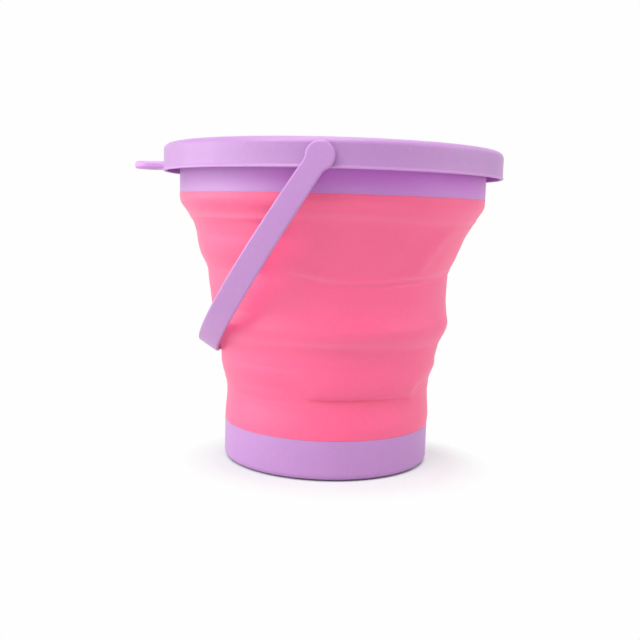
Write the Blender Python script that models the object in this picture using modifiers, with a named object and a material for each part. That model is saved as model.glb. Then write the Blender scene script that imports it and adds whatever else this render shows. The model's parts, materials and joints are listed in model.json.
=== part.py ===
"""Collapsible camp bucket: a rigid rim and base joined by a folding rubber wall, with a swinging bail.

Metres, +Z up. The bucket stands on z = 0 with its own axis on Z. The bail turns about an axis along Y,
and it rests against the wall on the -X side, under the hanging tab.
"""

import math

import bmesh
import bpy
from mathutils import Matrix

# Radii of the outer faces: the rim overhangs the collar, and the lower tier tapers in from the base
COLLAR_RADIUS = 0.112
RIM_OVERHANG = 0.012
MIDDLE_TIER_RADIUS = 0.088
BASE_RADIUS = 0.0765
LOWER_TIER_TAPER = 0.0009

# Heights of the stack, from the floor up to the rim
BASE_BAND_HEIGHT = 0.0285
LOWER_TIER_HEIGHT = 0.0315
LOWER_FOLD_HEIGHT = 0.040
MIDDLE_TIER_HEIGHT = 0.041
UPPER_FOLD_HEIGHT = 0.046
UPPER_TIER_HEIGHT = 0.008
COLLAR_HEIGHT = 0.0148
SKIRT_HEIGHT = 0.0192

# Walls, and the clearance between pieces that are bonded or seated
TIER_WALL = 0.0025
FOLD_WALL = 0.0016
SEAT_GAP = 0.0003
LAP_HEIGHT = 0.008

# Rim frame
SKIRT_WALL = 0.0024
RIM_DECK = 0.0025
RIM_TOP_FILLET = 0.0045
RIM_INNER_FILLET = 0.0015
SKIRT_EDGE_FILLET = 0.0006
RIM_RIB_COUNT = 16
RIM_RIB_WIDTH = 0.0016
RIM_RIB_SETBACK = 0.004

# Hanging tab on the rim's -X side
TAB_REACH = 0.0249
TAB_WIDTH = 0.026
TAB_THICKNESS = 0.0055
TAB_LIFT = 0.0023
TAB_HOLE_RADIUS = 0.005
TAB_EDGE_ROUND = 0.0016

# Base
BASE_WALL = 0.0025
BASE_FLOOR = 0.0024
BASE_CORNER_FILLET = 0.005
BASE_INNER_FILLET = 0.0035
FOOT_HEIGHT = 0.0018
FOOT_WIDTH = 0.0055
GATE_PAD_RADIUS = 0.012
BASE_RIB_COUNT = 8
BASE_RIB_WIDTH = 0.0018
BASE_RIB_SETBACK = 0.0004

# Bail: the strap is widest at its middle, and the taper is what it loses towards the pivots
BAIL_LENGTH = 0.1628
BAIL_WIDTH = 0.0165
BAIL_TAPER = 0.16
BAIL_THICKNESS = 0.0036
BAIL_EDGE_ROUND = 0.0013
BAIL_RUNNING_GAP = 0.0006
BAIL_REST_GAP = 0.0004
PIVOT_DROP = 0.012
PIVOT_DISC_RADIUS = 0.00925
PIVOT_DISC_STEP = 0.0003
PIVOT_DISC_ROUND = 0.0009
STUD_RADIUS = 0.003
STUD_HEAD_LENGTH = 0.0036
STUD_BARB = 0.0008
STUD_SLOT_WIDTH = 0.0012
STUD_SLOT_RUN = 0.0015
BOSS_RADIUS = 0.0065
BOSS_LENGTH = 0.003

# One overrun serves every cut and every union, so that no two faces lie on each other
OVERRUN = 0.001
MERGE_DISTANCE = 0.00001

# The wall's course: (share of the band's height from its top, share of the way to the next radius)
UPPER_TIER_SHARES = [(0.0, 0.0), (0.6, 0.01), (1.0, 0.058)]
UPPER_FOLD_SHARES = [
    (0.0, 0.058),
    (0.09, 0.19),
    (0.25, 0.39),
    (0.34, 0.465),
    (0.46, 0.56),
    (0.60, 0.63),
    (0.78, 0.75),
    (0.92, 0.87),
    (1.0, 0.942),
]
MIDDLE_TIER_SHARES = [(0.0, 0.942), (0.12, 0.975), (0.5, 1.008), (0.9, 0.9875), (1.0, 1.02)]
LOWER_FOLD_SHARES = [
    (0.0, 0.04),
    (0.08, 0.15),
    (0.16, 0.32),
    (0.28, 0.475),
    (0.42, 0.58),
    (0.66, 0.665),
    (0.78, 0.76),
    (0.90, 0.91),
    (1.0, 1.0),
]
LOWER_TIER_SHARES = [(0.0, 0.0), (0.3, 0.0), (1.0, 1.0)]
STUD_TIP_SHARE = 0.75

# Facets
TURN_STEPS = 60
ROUND_STEPS = 24
FILLET_STEPS = 4
BAIL_STEPS = 40
TAB_END_STEPS = 10
REST_SEARCH_STEPS = 720

# Levels where one piece meets the next
BASE_TOP = BASE_BAND_HEIGHT
LOWER_TIER_TOP = BASE_TOP + LOWER_TIER_HEIGHT
LOWER_FOLD_TOP = LOWER_TIER_TOP + LOWER_FOLD_HEIGHT
MIDDLE_TIER_TOP = LOWER_FOLD_TOP + MIDDLE_TIER_HEIGHT
UPPER_FOLD_TOP = MIDDLE_TIER_TOP + UPPER_FOLD_HEIGHT
COLLAR_BOTTOM = UPPER_FOLD_TOP + UPPER_TIER_HEIGHT
SKIRT_BOTTOM = COLLAR_BOTTOM + COLLAR_HEIGHT
RIM_TOP = SKIRT_BOTTOM + SKIRT_HEIGHT
PIVOT_HEIGHT = RIM_TOP - PIVOT_DROP

# Radii that follow from the ones beside them
RIM_RADIUS = COLLAR_RADIUS + RIM_OVERHANG
LOWER_TIER_RADIUS = BASE_RADIUS - LOWER_TIER_TAPER
COLLAR_INNER_RADIUS = COLLAR_RADIUS - TIER_WALL
SKIRT_INNER_RADIUS = RIM_RADIUS - SKIRT_WALL
BAIL_INNER_SPAN = RIM_RADIUS + BAIL_RUNNING_GAP + PIVOT_DISC_STEP

LAVENDER = (0.565, 0.315, 0.665, 1.0)
LAVENDER_BASE = (0.575, 0.325, 0.680, 1.0)
PINK = (0.945, 0.155, 0.315, 1.0)


def clear_scene():
    for thing in list(bpy.data.objects):
        bpy.data.objects.remove(thing, do_unlink=True)


def new_collection(name):
    collection = bpy.data.collections.new(name)
    bpy.context.scene.collection.children.link(collection)
    return collection


def plastic(name, colour, roughness):
    material = bpy.data.materials.new(name)
    material.use_nodes = True
    shader = material.node_tree.nodes["Principled BSDF"]
    shader.inputs["Base Color"].default_value = colour
    shader.inputs["Roughness"].default_value = roughness
    shader.inputs["Metallic"].default_value = 0.0
    return material


def lavender_plastic(piece_name):
    return plastic(piece_name + "_lavender_plastic", LAVENDER, 0.45)


def base_plastic(piece_name):
    return plastic(piece_name + "_lavender_plastic", LAVENDER_BASE, 0.45)


def pink_rubber(piece_name):
    return plastic(piece_name + "_pink_rubber", PINK, 0.55)


def link(collection, name, mesh):
    thing = bpy.data.objects.new(name, mesh)
    collection.objects.link(thing)
    return thing


def hide_as_tool(thing):
    thing.hide_render = True
    thing.display_type = "WIRE"
    return thing


def arc(centre, radius, start_degrees, end_degrees, steps=FILLET_STEPS):
    """Points of a fillet in the outline's plane, both ends included."""
    points = []
    for step in range(steps + 1):
        angle = math.radians(start_degrees + (end_degrees - start_degrees) * step / steps)
        points.append((centre[0] + radius * math.cos(angle), centre[1] + radius * math.sin(angle)))
    return points


def turned(collection, name, outline, closed, steps=TURN_STEPS):
    """A solid of revolution about the object's own Z axis. The outline runs down its outer side."""
    mesh = bpy.data.meshes.new(name)
    last = len(outline) if closed else len(outline) - 1
    edges = [(i, (i + 1) % len(outline)) for i in range(last)]
    mesh.from_pydata([(radius, 0.0, height) for radius, height in outline], edges, [])
    thing = link(collection, name, mesh)
    screw = thing.modifiers.new("turn", "SCREW")
    screw.steps = steps
    screw.render_steps = steps
    screw.use_merge_vertices = True
    screw.merge_threshold = MERGE_DISTANCE
    screw.use_smooth_shade = False
    return thing


def boolean(thing, tool, operation, name):
    modifier = thing.modifiers.new(name, "BOOLEAN")
    modifier.operation = operation
    modifier.solver = "EXACT"
    modifier.object = tool


def mesh_from_curve(collection, name, curve_object):
    """The curve's own surface as a closed mesh, in the curve's place."""
    graph = bpy.context.evaluated_depsgraph_get()
    mesh = bpy.data.meshes.new_from_object(curve_object.evaluated_get(graph))
    shape = bmesh.new()
    shape.from_mesh(mesh)
    bmesh.ops.remove_doubles(shape, verts=shape.verts, dist=MERGE_DISTANCE)
    bmesh.ops.recalc_face_normals(shape, faces=shape.faces)
    shape.to_mesh(mesh)
    shape.free()
    thing = link(collection, name, mesh)
    thing.matrix_world = curve_object.matrix_world.copy()
    curve_data = curve_object.data
    bpy.data.objects.remove(curve_object)
    bpy.data.curves.remove(curve_data)
    return thing


def add_box(shape, size, placement):
    bmesh.ops.create_cube(shape, size=1.0, matrix=placement @ Matrix.Diagonal((*size, 1.0)))


def poly_spline(curve, points, cyclic):
    spline = curve.splines.new("POLY")
    spline.points.add(len(points) - 1)
    for target, (x, y) in zip(spline.points, points):
        target.co = (x, y, 0.0, 1.0)
    spline.use_cyclic_u = cyclic


def course(shares, top, height, upper_radius, lower_radius):
    """The outer face of one band of the wall, top to bottom."""
    span = lower_radius - upper_radius
    return [(upper_radius + span * across, top - height * down) for down, across in shares]


def upper_tier_course():
    return course(
        UPPER_TIER_SHARES, COLLAR_BOTTOM, UPPER_TIER_HEIGHT, COLLAR_RADIUS, MIDDLE_TIER_RADIUS
    )


def upper_fold_course():
    return course(
        UPPER_FOLD_SHARES, UPPER_FOLD_TOP, UPPER_FOLD_HEIGHT, COLLAR_RADIUS, MIDDLE_TIER_RADIUS
    )


def middle_tier_course():
    return course(
        MIDDLE_TIER_SHARES, MIDDLE_TIER_TOP, MIDDLE_TIER_HEIGHT, COLLAR_RADIUS, MIDDLE_TIER_RADIUS
    )


def lower_fold_course():
    return course(
        LOWER_FOLD_SHARES, LOWER_FOLD_TOP, LOWER_FOLD_HEIGHT, MIDDLE_TIER_RADIUS, LOWER_TIER_RADIUS
    )


def lower_tier_course():
    return course(
        LOWER_TIER_SHARES, LOWER_TIER_TOP, LOWER_TIER_HEIGHT, LOWER_TIER_RADIUS, BASE_RADIUS
    )


def trimmed(outer):
    """The course with half the seat gap taken off each end."""
    (top_radius, top), (bottom_radius, bottom) = outer[0], outer[-1]
    return [
        (top_radius, top - SEAT_GAP / 2),
        *outer[1:-1],
        (bottom_radius, bottom + SEAT_GAP / 2),
    ]


def add_ring(collection, name, outer, wall, inner_stride=1):
    """A band of the wall: thick at both ends, where the next band is moulded on, and wall thick between."""
    outer = trimmed(outer)
    middle = outer[1:-1][::inner_stride]
    inner = [(outer[-1][0] - TIER_WALL, outer[-1][1])]
    inner += [(radius - wall, height) for radius, height in reversed(middle)]
    inner += [(outer[0][0] - TIER_WALL, outer[0][1])]
    ring = turned(collection, name, outer + inner, closed=True)
    ring.data.materials.append(pink_rubber(name))
    return ring


def add_upper_wall(collection):
    """The ring under the collar, with the tongue that is moulded up behind the collar's lip."""
    outer = trimmed(upper_tier_course())
    bottom_radius, bottom = outer[-1]
    tongue_radius = COLLAR_RADIUS - (TIER_WALL + SEAT_GAP) / 2
    inner = [
        (bottom_radius - TIER_WALL, bottom),
        (COLLAR_INNER_RADIUS, outer[1][1]),
        (COLLAR_INNER_RADIUS, COLLAR_BOTTOM + LAP_HEIGHT),
        (tongue_radius, COLLAR_BOTTOM + LAP_HEIGHT),
        (tongue_radius, outer[0][1]),
    ]
    wall = turned(collection, "upper_wall", outer + inner, closed=True)
    wall.data.materials.append(pink_rubber("upper_wall"))
    return wall


def add_lower_wall(collection):
    """The lowest ring, with the tongue that is moulded down behind the base's lip."""
    outer = trimmed(lower_tier_course())
    tongue_radius = BASE_RADIUS - (BASE_WALL + SEAT_GAP) / 2
    inner_radius = BASE_RADIUS - BASE_WALL
    tongue = [
        (tongue_radius, outer[-1][1]),
        (tongue_radius, BASE_TOP - LAP_HEIGHT),
        (inner_radius, BASE_TOP - LAP_HEIGHT),
        (inner_radius, BASE_TOP),
    ]
    inner = [(radius - TIER_WALL, height) for radius, height in reversed(outer[:-1])]
    wall = turned(collection, "lower_wall", outer + tongue + inner, closed=True)
    wall.data.materials.append(pink_rubber("lower_wall"))
    return wall


def rim_outline():
    """Inverted U of the rim: deck, down-turned skirt, and the collar inside it."""
    lip_radius = COLLAR_RADIUS - (TIER_WALL - SEAT_GAP) / 2
    lap_top = COLLAR_BOTTOM + LAP_HEIGHT + SEAT_GAP
    deck_under = RIM_TOP - RIM_DECK
    top_centre = (RIM_RADIUS - RIM_TOP_FILLET, RIM_TOP - RIM_TOP_FILLET)
    edge = SKIRT_EDGE_FILLET
    inner_centre = (COLLAR_INNER_RADIUS + RIM_INNER_FILLET, RIM_TOP - RIM_INNER_FILLET)
    return [
        *arc(top_centre, RIM_TOP_FILLET, 90, 0),
        (RIM_RADIUS, SKIRT_BOTTOM + edge),
        (RIM_RADIUS - edge, SKIRT_BOTTOM),
        (SKIRT_INNER_RADIUS + edge, SKIRT_BOTTOM),
        (SKIRT_INNER_RADIUS, SKIRT_BOTTOM + edge),
        (SKIRT_INNER_RADIUS, deck_under),
        (COLLAR_RADIUS, deck_under),
        (COLLAR_RADIUS, COLLAR_BOTTOM + SEAT_GAP / 2),
        (lip_radius, COLLAR_BOTTOM + SEAT_GAP / 2),
        (lip_radius, lap_top),
        (COLLAR_INNER_RADIUS, lap_top),
        *arc(inner_centre, RIM_INNER_FILLET, 180, 90, 2),
    ]


def rim_ribs(tools):
    """Stiffening ribs in the channel under the deck, clear of the pivots and of the tab's root."""
    top = RIM_TOP - RIM_DECK + OVERRUN
    low = SKIRT_BOTTOM + RIM_RIB_SETBACK
    across = SKIRT_INNER_RADIUS - COLLAR_RADIUS + OVERRUN
    middle_radius = (SKIRT_INNER_RADIUS + COLLAR_RADIUS) / 2
    shape = bmesh.new()
    for number in range(RIM_RIB_COUNT):
        turn = Matrix.Rotation(math.tau * (number + 0.5) / RIM_RIB_COUNT, 4, "Z")
        place = Matrix.Translation((middle_radius, 0.0, (top + low) / 2))
        add_box(shape, (across, RIM_RIB_WIDTH, top - low), turn @ place)
    mesh = bpy.data.meshes.new("rim_ribs")
    shape.to_mesh(mesh)
    shape.free()
    return hide_as_tool(link(tools, "rim_ribs", mesh))


def pivot_cylinder(tools, name, radius, near, far):
    """A pair of cylinders along Y, one on each side of the bucket, between two distances from its axis."""
    shape = bmesh.new()
    for side in (-1, 1):
        place = Matrix.Translation((0.0, side * (near + far) / 2, PIVOT_HEIGHT))
        bmesh.ops.create_cone(
            shape,
            cap_ends=True,
            segments=ROUND_STEPS,
            radius1=radius,
            radius2=radius,
            depth=far - near,
            matrix=place @ Matrix.Rotation(math.radians(90), 4, "X"),
        )
    mesh = bpy.data.meshes.new(name)
    shape.to_mesh(mesh)
    shape.free()
    return hide_as_tool(link(tools, name, mesh))


def tab_centre_x():
    """Centre of the tab's half-round end and of its hole."""
    return -(RIM_RADIUS + TAB_REACH - TAB_WIDTH / 2)


def hanging_tab(tools):
    """Flat tab with a half-round end and rounded edges, sunk into the skirt's wall and no deeper."""
    radius = TAB_WIDTH / 2
    root_x = -math.sqrt((RIM_RADIUS - SKIRT_WALL / 2) ** 2 - radius**2)
    outline = [(root_x, radius), *arc((tab_centre_x(), 0.0), radius, 90, 270, TAB_END_STEPS)]
    outline.append((root_x, -radius))
    curve = bpy.data.curves.new("hanging_tab", "CURVE")
    curve.dimensions = "2D"
    curve.fill_mode = "BOTH"
    curve.bevel_depth = TAB_EDGE_ROUND
    curve.bevel_resolution = 1
    curve.offset = -TAB_EDGE_ROUND
    curve.extrude = TAB_THICKNESS / 2 - TAB_EDGE_ROUND
    poly_spline(curve, outline, cyclic=True)
    thing = link(tools, "hanging_tab_curve", curve)
    thing.location.z = SKIRT_BOTTOM + TAB_LIFT + TAB_THICKNESS / 2
    bpy.context.view_layer.update()
    return hide_as_tool(mesh_from_curve(tools, "hanging_tab", thing))


def tab_hole(tools):
    """Cutter for the hole that the bucket hangs by."""
    shape = bmesh.new()
    bmesh.ops.create_cone(
        shape,
        cap_ends=True,
        segments=ROUND_STEPS,
        radius1=TAB_HOLE_RADIUS,
        radius2=TAB_HOLE_RADIUS,
        depth=TAB_THICKNESS + 2 * OVERRUN,
        matrix=Matrix.Translation((tab_centre_x(), 0.0, SKIRT_BOTTOM + TAB_LIFT + TAB_THICKNESS / 2)),
    )
    mesh = bpy.data.meshes.new("tab_hole")
    shape.to_mesh(mesh)
    shape.free()
    return hide_as_tool(link(tools, "tab_hole", mesh))


def add_rim_frame(collection, tools):
    frame = turned(collection, "rim_frame", rim_outline(), closed=True)
    boss_end = SKIRT_INNER_RADIUS - BOSS_LENGTH
    boss = pivot_cylinder(tools, "pivot_bosses", BOSS_RADIUS, boss_end, SKIRT_INNER_RADIUS + OVERRUN)
    bore_radius = STUD_RADIUS + SEAT_GAP
    bore_end = boss_end - OVERRUN
    bore = pivot_cylinder(tools, "pivot_bores", bore_radius, bore_end, RIM_RADIUS + OVERRUN)
    boolean(frame, rim_ribs(tools), "UNION", "ribs")
    boolean(frame, boss, "UNION", "bosses")
    boolean(frame, hanging_tab(tools), "UNION", "tab")
    boolean(frame, tab_hole(tools), "DIFFERENCE", "tab_hole")
    boolean(frame, bore, "DIFFERENCE", "bores")
    frame.data.materials.append(lavender_plastic("rim_frame"))
    return frame


def base_outline():
    """Cup of the base: floor, wall with its moulded lip, foot ring and the gate pad in the middle."""
    floor_top = FOOT_HEIGHT + BASE_FLOOR
    inner_radius = BASE_RADIUS - BASE_WALL
    lip_radius = BASE_RADIUS - (BASE_WALL - SEAT_GAP) / 2
    lap_bottom = BASE_TOP - LAP_HEIGHT - SEAT_GAP
    inner_centre = (inner_radius - BASE_INNER_FILLET, floor_top + BASE_INNER_FILLET)
    corner_centre = (BASE_RADIUS - BASE_CORNER_FILLET, BASE_CORNER_FILLET)
    foot_radius = BASE_RADIUS - BASE_CORNER_FILLET - FOOT_WIDTH
    return [
        (0.0, floor_top),
        *arc(inner_centre, BASE_INNER_FILLET, -90, 0, 3),
        (inner_radius, lap_bottom),
        (lip_radius, lap_bottom),
        (lip_radius, BASE_TOP - SEAT_GAP / 2),
        (BASE_RADIUS, BASE_TOP - SEAT_GAP / 2),
        *arc(corner_centre, BASE_CORNER_FILLET, 0, -90),
        (foot_radius, 0.0),
        (foot_radius - FOOT_HEIGHT, FOOT_HEIGHT),
        (GATE_PAD_RADIUS + FOOT_HEIGHT, FOOT_HEIGHT),
        (GATE_PAD_RADIUS, 0.0),
        (0.0, 0.0),
    ]


def base_ribs(tools):
    """Radial ribs under the floor, from the gate pad to the foot ring."""
    foot_radius = BASE_RADIUS - BASE_CORNER_FILLET - FOOT_WIDTH
    near = GATE_PAD_RADIUS - OVERRUN
    far = foot_radius + OVERRUN
    top = FOOT_HEIGHT + BASE_FLOOR / 2
    shape = bmesh.new()
    for number in range(BASE_RIB_COUNT):
        turn = Matrix.Rotation(math.tau * (number + 0.5) / BASE_RIB_COUNT, 4, "Z")
        place = Matrix.Translation(((near + far) / 2, 0.0, (top + BASE_RIB_SETBACK) / 2))
        add_box(shape, (far - near, BASE_RIB_WIDTH, top - BASE_RIB_SETBACK), turn @ place)
    mesh = bpy.data.meshes.new("base_ribs")
    shape.to_mesh(mesh)
    shape.free()
    return hide_as_tool(link(tools, "base_ribs", mesh))


def add_base_cup(collection, tools):
    base = turned(collection, "base_cup", base_outline(), closed=False)
    boolean(base, base_ribs(tools), "UNION", "ribs")
    base.data.materials.append(base_plastic("base_cup"))
    return base


def wall_radius(outer, height):
    """Outer radius of the wall at a height, and of its nearest end beyond it."""
    for (upper_radius, upper), (lower_radius, lower) in zip(outer, outer[1:]):
        if lower <= height <= upper:
            return upper_radius + (lower_radius - upper_radius) * (upper - height) / (upper - lower)
    return outer[0][0] if height > outer[0][1] else outer[-1][0]


def width_share(reach_share):
    """Share of the strap's full width, at a share of its reach from the pivots' line."""
    return 1 - BAIL_TAPER * (1 - reach_share) ** 2


def bail_clearance(outer, turn):
    """Least distance between the bail's round inner edges and the wall, at a turn from straight down."""
    least = RIM_RADIUS
    span = BAIL_INNER_SPAN + BAIL_EDGE_ROUND
    reach = BAIL_LENGTH - BAIL_THICKNESS + BAIL_EDGE_ROUND
    for step in range(BAIL_STEPS + 1):
        angle = math.radians(90) * step / BAIL_STEPS
        across = span * math.cos(angle)
        down = reach * math.sin(angle)
        half_width = BAIL_WIDTH / 2 * width_share(math.sin(angle)) - BAIL_EDGE_ROUND
        for edge in (-half_width, half_width):
            away = down * math.sin(turn) + edge * math.cos(turn)
            height = PIVOT_HEIGHT - down * math.cos(turn) + edge * math.sin(turn)
            if height < COLLAR_BOTTOM:
                gap = math.hypot(away, across) - BAIL_EDGE_ROUND - wall_radius(outer, height)
                least = min(least, gap)
    return least


def bail_rest_turn():
    """Turn from straight down at which the bail comes to rest against the wall."""
    outer = (
        upper_tier_course()
        + upper_fold_course()
        + middle_tier_course()
        + lower_fold_course()
        + lower_tier_course()
    )
    for step in range(REST_SEARCH_STEPS + 1):
        turn = math.radians(90) * step / REST_SEARCH_STEPS
        if bail_clearance(outer, turn) >= BAIL_REST_GAP:
            return turn
    return math.radians(90)


def bail_section(tools):
    """Cross-section of the strap: a rectangle with round corners."""
    half_thickness = BAIL_THICKNESS / 2 - BAIL_EDGE_ROUND
    half_width = BAIL_WIDTH / 2 - BAIL_EDGE_ROUND
    points = []
    corners = [(1, 1, 0), (-1, 1, 90), (-1, -1, 180), (1, -1, 270)]
    for side, end, start in corners:
        centre = (side * half_thickness, end * half_width)
        points += arc(centre, BAIL_EDGE_ROUND, start, start + 90, 2)
    curve = bpy.data.curves.new("bail_section", "CURVE")
    curve.dimensions = "2D"
    poly_spline(curve, points, cyclic=True)
    return hide_as_tool(link(tools, "bail_section", curve))


def bail_bow(collection, tools):
    """The strap swept along half an ellipse and tapered, in its own XY plane with the bow towards -Y."""
    curve = bpy.data.curves.new("bail_bow", "CURVE")
    curve.dimensions = "3D"
    curve.twist_mode = "Z_UP"
    curve.bevel_mode = "OBJECT"
    curve.bevel_object = bail_section(tools)
    curve.use_fill_caps = True
    half_span = BAIL_INNER_SPAN + BAIL_THICKNESS / 2
    reach = BAIL_LENGTH - BAIL_THICKNESS / 2
    points = []
    for step in range(BAIL_STEPS + 1):
        angle = math.pi * step / BAIL_STEPS
        points.append((half_span * math.cos(angle), -reach * math.sin(angle)))
    poly_spline(curve, points, cyclic=False)
    thing = link(collection, "bail_bow", curve)
    bpy.context.view_layer.update()
    bow = mesh_from_curve(collection, "handle", thing)
    for vertex in bow.data.vertices:
        reach_share = min(max(-vertex.co.y / reach, 0.0), 1.0)
        vertex.co.z *= width_share(reach_share)
    return bow


def pivot_outline():
    """Disc, stud and barbed snap head as one turned shape, with the bucket's axis at height zero."""
    disc_inner = RIM_RADIUS + BAIL_RUNNING_GAP
    disc_outer = disc_inner + BAIL_THICKNESS + 2 * PIVOT_DISC_STEP
    head_top = SKIRT_INNER_RADIUS - BOSS_LENGTH - SEAT_GAP
    barb_radius = STUD_RADIUS + SEAT_GAP + STUD_BARB
    edge = PIVOT_DISC_ROUND
    return [
        (0.0, disc_outer),
        *arc((PIVOT_DISC_RADIUS - edge, disc_outer - edge), edge, 90, 0, 2),
        *arc((PIVOT_DISC_RADIUS - edge, disc_inner + edge), edge, 0, -90, 2),
        (STUD_RADIUS, disc_inner),
        (STUD_RADIUS, head_top),
        (barb_radius, head_top),
        (barb_radius, head_top - STUD_BARB),
        (STUD_RADIUS * STUD_TIP_SHARE, head_top - STUD_HEAD_LENGTH),
        (0.0, head_top - STUD_HEAD_LENGTH),
    ]


def pivot_end(tools, side):
    """One round end of the bail, along the bow's own X axis."""
    name = "pivot_end_rear" if side > 0 else "pivot_end_front"
    thing = turned(tools, name, pivot_outline(), closed=False, steps=ROUND_STEPS)
    thing.rotation_euler = (0.0, side * math.radians(90), 0.0)
    return hide_as_tool(thing)


def stud_slots(tools):
    """Slots that split both snap heads, so that they can squeeze through the bores."""
    head_top = SKIRT_INNER_RADIUS - BOSS_LENGTH - SEAT_GAP
    near = head_top - STUD_HEAD_LENGTH - OVERRUN
    far = head_top + STUD_SLOT_RUN
    tall = 2 * (STUD_RADIUS + SEAT_GAP + STUD_BARB + OVERRUN)
    shape = bmesh.new()
    for side in (-1, 1):
        place = Matrix.Translation((side * (near + far) / 2, 0.0, 0.0))
        add_box(shape, (far - near, tall, STUD_SLOT_WIDTH), place)
    mesh = bpy.data.meshes.new("stud_slots")
    shape.to_mesh(mesh)
    shape.free()
    return hide_as_tool(link(tools, "stud_slots", mesh))


def add_handle(collection, tools):
    """The bail, turned about its pivots until it lies against the wall."""
    handle = bail_bow(collection, tools)
    fittings = [pivot_end(tools, -1), pivot_end(tools, 1), stud_slots(tools)]
    placement = (
        Matrix.Translation((0.0, 0.0, PIVOT_HEIGHT))
        @ Matrix.Rotation(bail_rest_turn(), 4, "Y")
        @ Matrix.Rotation(math.radians(90), 4, "Z")
        @ Matrix.Rotation(math.radians(90), 4, "X")
    )
    for thing in [handle, *fittings]:
        bpy.context.view_layer.update()
        thing.matrix_world = placement @ thing.matrix_world
    boolean(handle, fittings[0], "UNION", "front_end")
    boolean(handle, fittings[1], "UNION", "rear_end")
    boolean(handle, fittings[2], "DIFFERENCE", "slots")
    handle.data.materials.append(lavender_plastic("handle"))
    return handle


def shade(thing):
    """Smooth faces with crisp edges where two faces meet steeply."""
    for modifier in thing.modifiers:
        if modifier.type == "SCREW":
            modifier.use_smooth_shade = True
    if thing.data.polygons:
        thing.data.shade_smooth()
        thing.data.set_sharp_from_angle(angle=math.radians(35))


def main():
    clear_scene()
    pieces = new_collection("collapsible_bucket")
    tools = new_collection("cutters")
    add_base_cup(pieces, tools)
    add_lower_wall(pieces)
    add_ring(pieces, "lower_fold", lower_fold_course(), FOLD_WALL, inner_stride=2)
    add_ring(pieces, "middle_wall", middle_tier_course(), TIER_WALL)
    add_ring(pieces, "upper_fold", upper_fold_course(), FOLD_WALL, inner_stride=2)
    add_upper_wall(pieces)
    add_rim_frame(pieces, tools)
    add_handle(pieces, tools)
    for thing in pieces.objects:
        shade(thing)
    bpy.context.view_layer.update()


main()
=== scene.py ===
import json
import math

import bmesh
import bpy
import numpy as np
from mathutils import Matrix, Vector


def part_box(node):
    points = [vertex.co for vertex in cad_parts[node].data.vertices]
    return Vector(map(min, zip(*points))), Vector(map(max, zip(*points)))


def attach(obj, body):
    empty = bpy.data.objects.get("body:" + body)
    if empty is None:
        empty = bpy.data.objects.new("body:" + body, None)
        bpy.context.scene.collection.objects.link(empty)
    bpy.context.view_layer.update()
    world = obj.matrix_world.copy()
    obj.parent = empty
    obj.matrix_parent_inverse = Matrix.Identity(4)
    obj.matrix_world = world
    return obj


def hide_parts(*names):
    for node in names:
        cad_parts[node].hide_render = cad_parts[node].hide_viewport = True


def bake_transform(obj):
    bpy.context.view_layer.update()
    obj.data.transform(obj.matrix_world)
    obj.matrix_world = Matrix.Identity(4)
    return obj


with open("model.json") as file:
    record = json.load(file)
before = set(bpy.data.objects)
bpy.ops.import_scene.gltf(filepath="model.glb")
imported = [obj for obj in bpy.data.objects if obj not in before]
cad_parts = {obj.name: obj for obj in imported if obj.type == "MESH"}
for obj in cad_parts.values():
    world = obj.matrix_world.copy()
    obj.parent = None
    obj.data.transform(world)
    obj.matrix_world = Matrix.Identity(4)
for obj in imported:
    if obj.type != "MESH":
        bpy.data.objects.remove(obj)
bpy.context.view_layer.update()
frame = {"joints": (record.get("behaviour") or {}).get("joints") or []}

# Sizes are in metres, and MM makes the small ones easier to read
MM = 0.001


def top_of(node):
    """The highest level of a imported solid."""
    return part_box(node)[1].z


def bottom_of(node):
    """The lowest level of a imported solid."""
    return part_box(node)[0].z


def reach_of(node):
    """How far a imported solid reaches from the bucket's axis along Y, which is its outer radius."""
    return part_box(node)[1].y


# Levels, halfway between the two solids that meet there, and outer radii
SEAT_GAP = bottom_of("lower_fold") - top_of("lower_wall")
BASE_TOP = top_of("base_cup") + SEAT_GAP / 2
LOWER_TIER_TOP = top_of("lower_wall") + SEAT_GAP / 2
LOWER_FOLD_TOP = top_of("lower_fold") + SEAT_GAP / 2
MIDDLE_TIER_TOP = top_of("middle_wall") + SEAT_GAP / 2
UPPER_FOLD_TOP = top_of("upper_fold") + SEAT_GAP / 2
COLLAR_BOTTOM = bottom_of("rim_frame") - SEAT_GAP / 2
RIM_TOP = top_of("rim_frame")
TONGUE_BOTTOM = bottom_of("lower_wall")
TONGUE_TOP = top_of("upper_wall")
WALL_SEAM = (LOWER_FOLD_TOP + MIDDLE_TIER_TOP) / 2
BASE_RADIUS = reach_of("base_cup")
LOWER_TIER_TAPER = 0.9 * MM
LOWER_TIER_RADIUS = BASE_RADIUS - LOWER_TIER_TAPER
MIDDLE_RADIUS = (reach_of("lower_fold") + reach_of("middle_wall")) / 2
COLLAR_RADIUS = reach_of("upper_wall")
RIM_RADIUS = reach_of("rim_frame")

# Walls, the hairline between pieces that meet, and how far a tool runs past what it cuts or joins
TIER_WALL = 2.5 * MM
FOLD_WALL = 1.6 * MM
HAIRLINE = 0.05 * MM
OVERRUN = 1.0 * MM

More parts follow.
